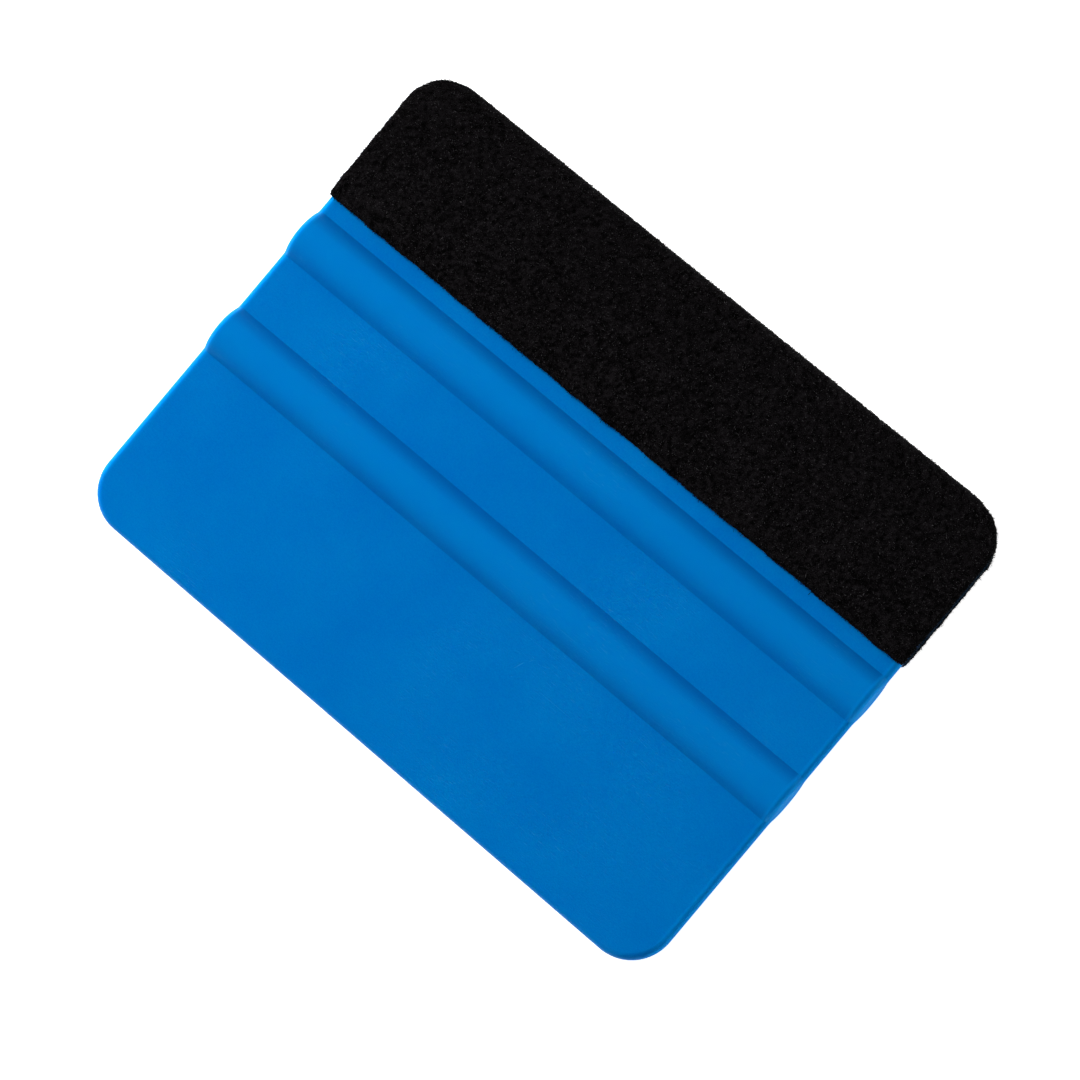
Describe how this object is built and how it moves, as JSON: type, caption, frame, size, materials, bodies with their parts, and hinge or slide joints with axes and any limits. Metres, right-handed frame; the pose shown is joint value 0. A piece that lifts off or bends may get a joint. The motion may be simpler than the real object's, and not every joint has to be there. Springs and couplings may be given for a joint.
{
  "type": "squeegee applicator",
  "caption": "Flat flexible plastic hand squeegee with rounded corners, raised grip ribs across both faces, and a dark felt strip folded over one long edge.",
  "frame": {"origin": "middle of the footprint, on the surface that the object lies on with its lower ribs", "axes": "+X along the long side, +Y from the bare edge to the felt edge, +Z through the thickness, out of the front face"},
  "size_m": [0.1002, 0.0764, 0.006],
  "materials": {
    "card_plastic": "moulded polypropylene, satin, blue right through",
    "adhesive": "clear double-sided pressure-sensitive film, dark where the black felt shows through it",
    "felt": "dense black synthetic felt, short brushed nap, die cut"
  },
  "bodies": {
    "root": {"blade_card": "card_plastic", "adhesive_film": "adhesive", "felt_strip": "felt"}
  },
  "joints": []
}
